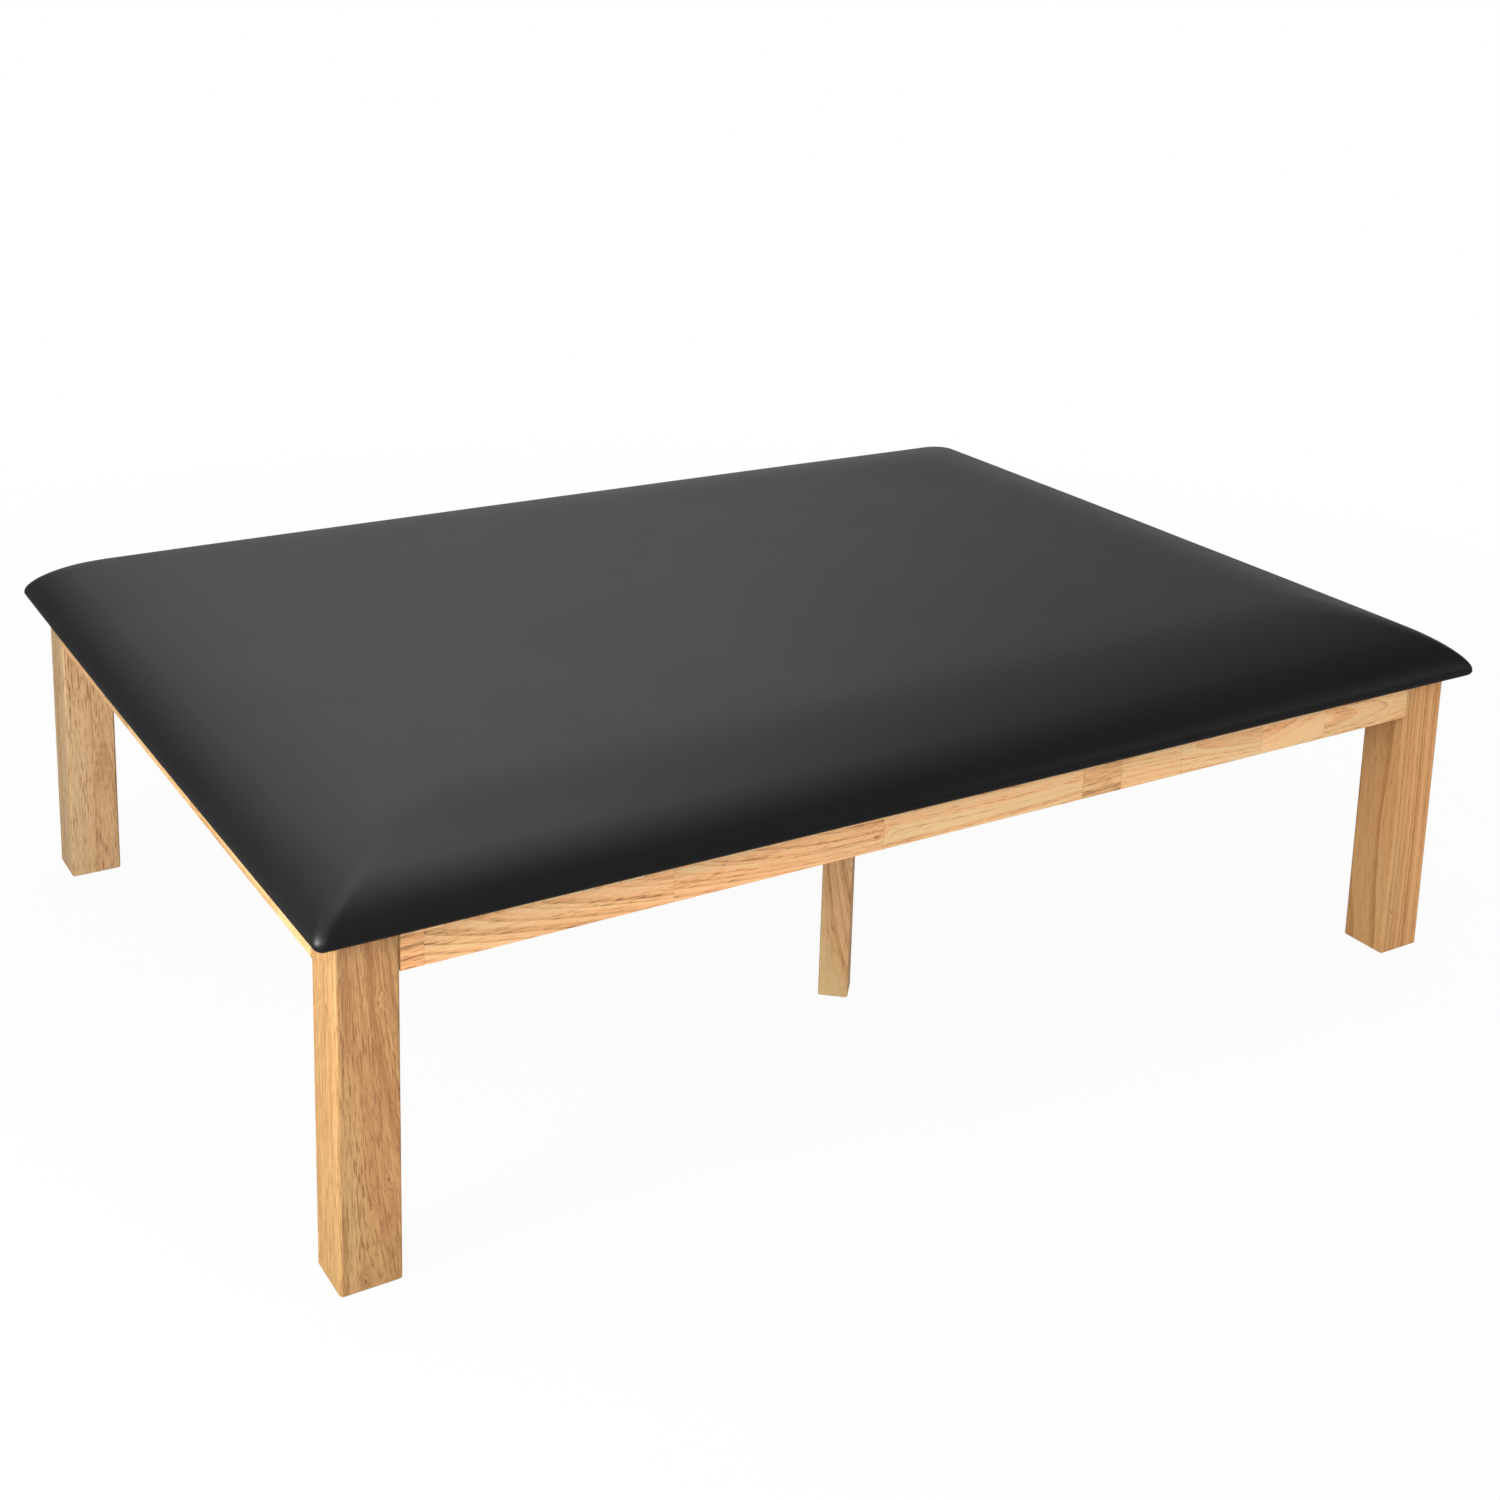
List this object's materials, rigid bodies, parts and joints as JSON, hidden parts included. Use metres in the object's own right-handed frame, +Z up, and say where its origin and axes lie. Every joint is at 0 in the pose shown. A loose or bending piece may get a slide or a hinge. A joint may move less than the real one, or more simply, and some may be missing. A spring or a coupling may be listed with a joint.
{
  "type": "massage table",
  "caption": "Low wide massage and mat table: a padded vinyl deck on a hardwood frame with corner legs and screw-in middle legs.",
  "frame": {"origin": "on the floor under the middle of the table", "axes": "+X along the table's length, to the right as seen from the front, which faces -Y; +Z up"},
  "size_m": [2.1354, 1.5674, 0.6275],
  "materials": {
    "hardwood": "light tan hardwood under a clear satin lacquer",
    "plywood": "bare plywood",
    "black_vinyl": "smooth black upholstery vinyl with a soft sheen",
    "firm_foam": "firm grey bonded foam",
    "soft_foam": "soft cream foam",
    "zinc_steel": "bright zinc plate"
  },
  "bodies": {
    "table": {"vinyl_cover": "black_vinyl", "foam_top": "soft_foam", "foam_base": "firm_foam", "deck_panel_left": "plywood", "deck_panel_right": "plywood", "front_rail": "hardwood", "back_rail": "hardwood", "left_rail": "hardwood", "right_rail": "hardwood", "center_beam": "hardwood", "joist_left": "hardwood", "joist_right": "hardwood", "leg_front_left": "hardwood", "leg_front_right": "hardwood", "leg_back_right": "hardwood", "leg_back_left": "hardwood", "corner_brace_front_left": "hardwood", "corner_brace_front_right": "hardwood", "corner_brace_back_right": "hardwood", "corner_brace_back_left": "hardwood", "hanger_bolt_front_left_lower": "zinc_steel", "hanger_bolt_front_left_upper": "zinc_steel", "hanger_bolt_front_right_lower": "zinc_steel", "hanger_bolt_front_right_upper": "zinc_steel", "hanger_bolt_back_right_lower": "zinc_steel", "hanger_bolt_back_right_upper": "zinc_steel", "hanger_bolt_back_left_lower": "zinc_steel", "hanger_bolt_back_left_upper": "zinc_steel", "flange_nut_front_left_lower": "zinc_steel", "flange_nut_front_left_upper": "zinc_steel", "flange_nut_front_right_lower": "zinc_steel", "flange_nut_front_right_upper": "zinc_steel", "flange_nut_back_right_lower": "zinc_steel", "flange_nut_back_right_upper": "zinc_steel", "flange_nut_back_left_lower": "zinc_steel", "flange_nut_back_left_upper": "zinc_steel", "mid_leg_front_insert": "zinc_steel", "mid_leg_back_insert": "zinc_steel", "deck_bracket_front_left": "zinc_steel", "deck_bracket_front_right": "zinc_steel", "deck_bracket_back_left": "zinc_steel", "deck_bracket_back_right": "zinc_steel", "deck_bracket_left": "zinc_steel", "deck_bracket_right": "zinc_steel", "beam_bracket_front_left": "zinc_steel", "beam_bracket_front_right": "zinc_steel", "beam_bracket_back_left": "zinc_steel", "beam_bracket_back_right": "zinc_steel", "joist_bracket_front_left": "zinc_steel", "joist_bracket_front_right": "zinc_steel", "joist_bracket_back_left": "zinc_steel", "joist_bracket_back_right": "zinc_steel"},
    "mid_leg_front": {"mid_leg_front": "hardwood", "mid_leg_front_bolt": "zinc_steel"},
    "mid_leg_back": {"mid_leg_back": "hardwood", "mid_leg_back_bolt": "zinc_steel"}
  },
  "joints": [
    {"name": "mid_leg_front_screw", "type": "hinge", "parent": "table", "child": "mid_leg_front", "pos_m": [0, -0.37495, 0.45], "axis": [0, 0, -1], "range_deg": [0, 240]},
    {"name": "mid_leg_back_screw", "type": "hinge", "parent": "table", "child": "mid_leg_back", "pos_m": [0, 0.37495, 0.45], "axis": [0, 0, -1], "range_deg": [0, 240]}
  ]
}
